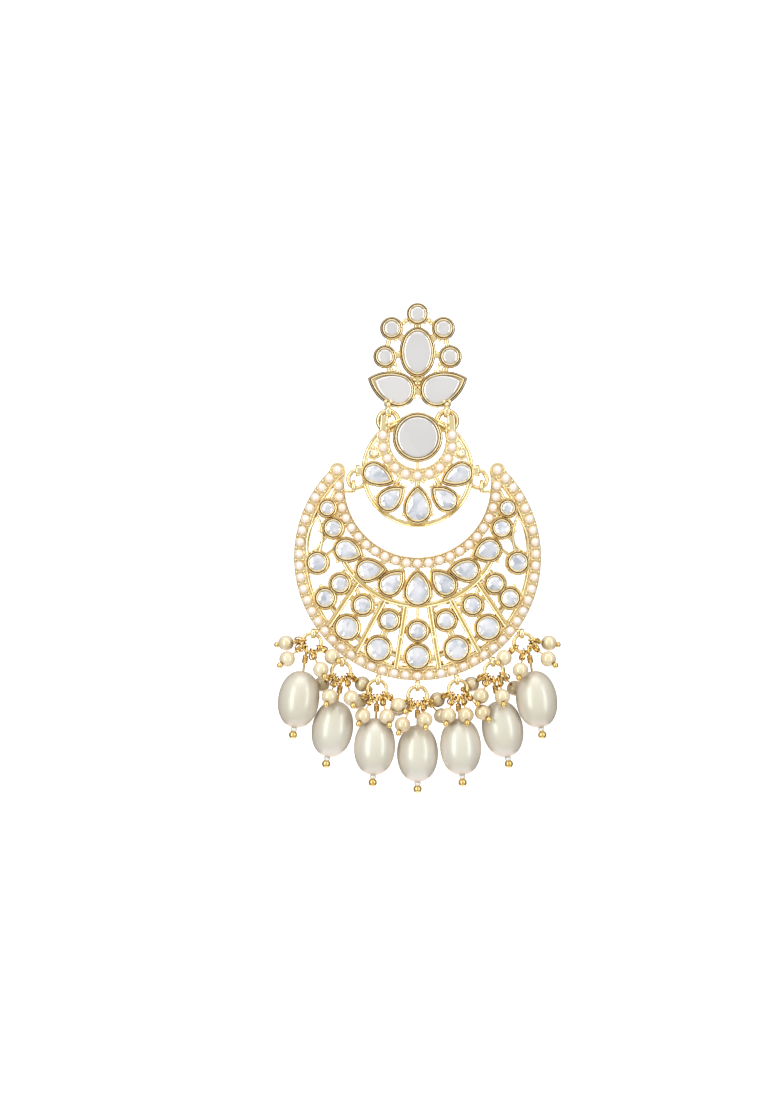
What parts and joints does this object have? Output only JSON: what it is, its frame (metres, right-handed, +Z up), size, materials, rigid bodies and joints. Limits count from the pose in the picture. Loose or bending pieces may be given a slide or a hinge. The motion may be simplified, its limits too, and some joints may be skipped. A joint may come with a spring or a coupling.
{
  "type": "chandbali earring",
  "caption": "Drop earring: a stone-set stud, a round medallion and a pierced crescent hung on rings, edged with half pearls, with oval pearls and bead clusters below.",
  "frame": {"origin": "root of the ear post, where it meets the back of the stud behind the oval stone", "axes": "+X across the earring to the viewer's right, +Z up, front faces -Y, the post points +Y"},
  "size_m": [0.053, 0.0175, 0.0901],
  "materials": {
    "cast_gold": "pale champagne gold plate over a casting, bright on the edges, amber in the crevices",
    "post_metal": "plain drawn wire, gold plated",
    "ring_wire": "bright gold plated wire",
    "mirror_stone": "flat foil-backed stone, light grey and mirror-like, with a bevelled edge",
    "cut_stone": "faceted foil-backed stone, icy white and blue grey",
    "half_pearl": "creamy white half pearl",
    "oval_pearl": "ivory pearl with a soft greenish cream sheen",
    "champagne_bead": "pale gold pearl",
    "pin_wire": "deep gold plated wire"
  },
  "bodies": {
    "stud": {"stud_frame": "cast_gold", "ear_post": "post_metal", "oval_stone": "mirror_stone", "stud_round_1": "mirror_stone", "stud_round_2": "mirror_stone", "stud_round_3": "mirror_stone", "stud_round_4": "mirror_stone", "stud_round_5": "mirror_stone", "stud_pear_left": "mirror_stone", "stud_pear_right": "mirror_stone"},
    "medallion": {"medallion_frame": "cast_gold", "medallion_centre_stone": "mirror_stone", "medallion_pear_1": "cut_stone", "medallion_pear_2": "cut_stone", "medallion_pear_3": "cut_stone", "medallion_pear_4": "cut_stone", "medallion_pear_5": "cut_stone", "medallion_pearls": "half_pearl", "upper_ring_left": "ring_wire", "upper_ring_right": "ring_wire", "side_ring_left": "ring_wire", "side_ring_right": "ring_wire"},
    "crescent": {"crescent_frame": "cast_gold", "crescent_pear_1": "cut_stone", "crescent_pear_2": "cut_stone", "crescent_pear_3": "cut_stone", "crescent_pear_4": "cut_stone", "crescent_pear_5": "cut_stone", "crescent_pear_6": "cut_stone", "crescent_pear_7": "cut_stone", "crescent_round_stones": "cut_stone", "crescent_outer_pearls": "half_pearl", "crescent_mouth_pearls": "half_pearl", "drop_ring_1": "ring_wire", "drop_ring_2": "ring_wire", "drop_ring_3": "ring_wire", "drop_ring_4": "ring_wire", "drop_ring_5": "ring_wire", "drop_ring_6": "ring_wire", "drop_ring_7": "ring_wire", "pearl_1": "oval_pearl", "pearl_2": "oval_pearl", "pearl_3": "oval_pearl", "pearl_4": "oval_pearl", "pearl_5": "oval_pearl", "pearl_6": "oval_pearl", "pearl_7": "oval_pearl", "drop_pins": "pin_wire", "cluster_beads": "champagne_bead", "cluster_pins": "pin_wire"}
  },
  "joints": [
    {"name": "medallion_swing", "type": "hinge", "parent": "stud", "child": "medallion", "pos_m": [0, -0.00136, -0.01087], "axis": [1, 0, 0], "range_deg": [-45, 60]},
    {"name": "crescent_swing", "type": "hinge", "parent": "medallion", "child": "crescent", "pos_m": [0, -0.00136, -0.02473], "axis": [1, 0, 0], "range_deg": [-60, 60]}
  ]
}
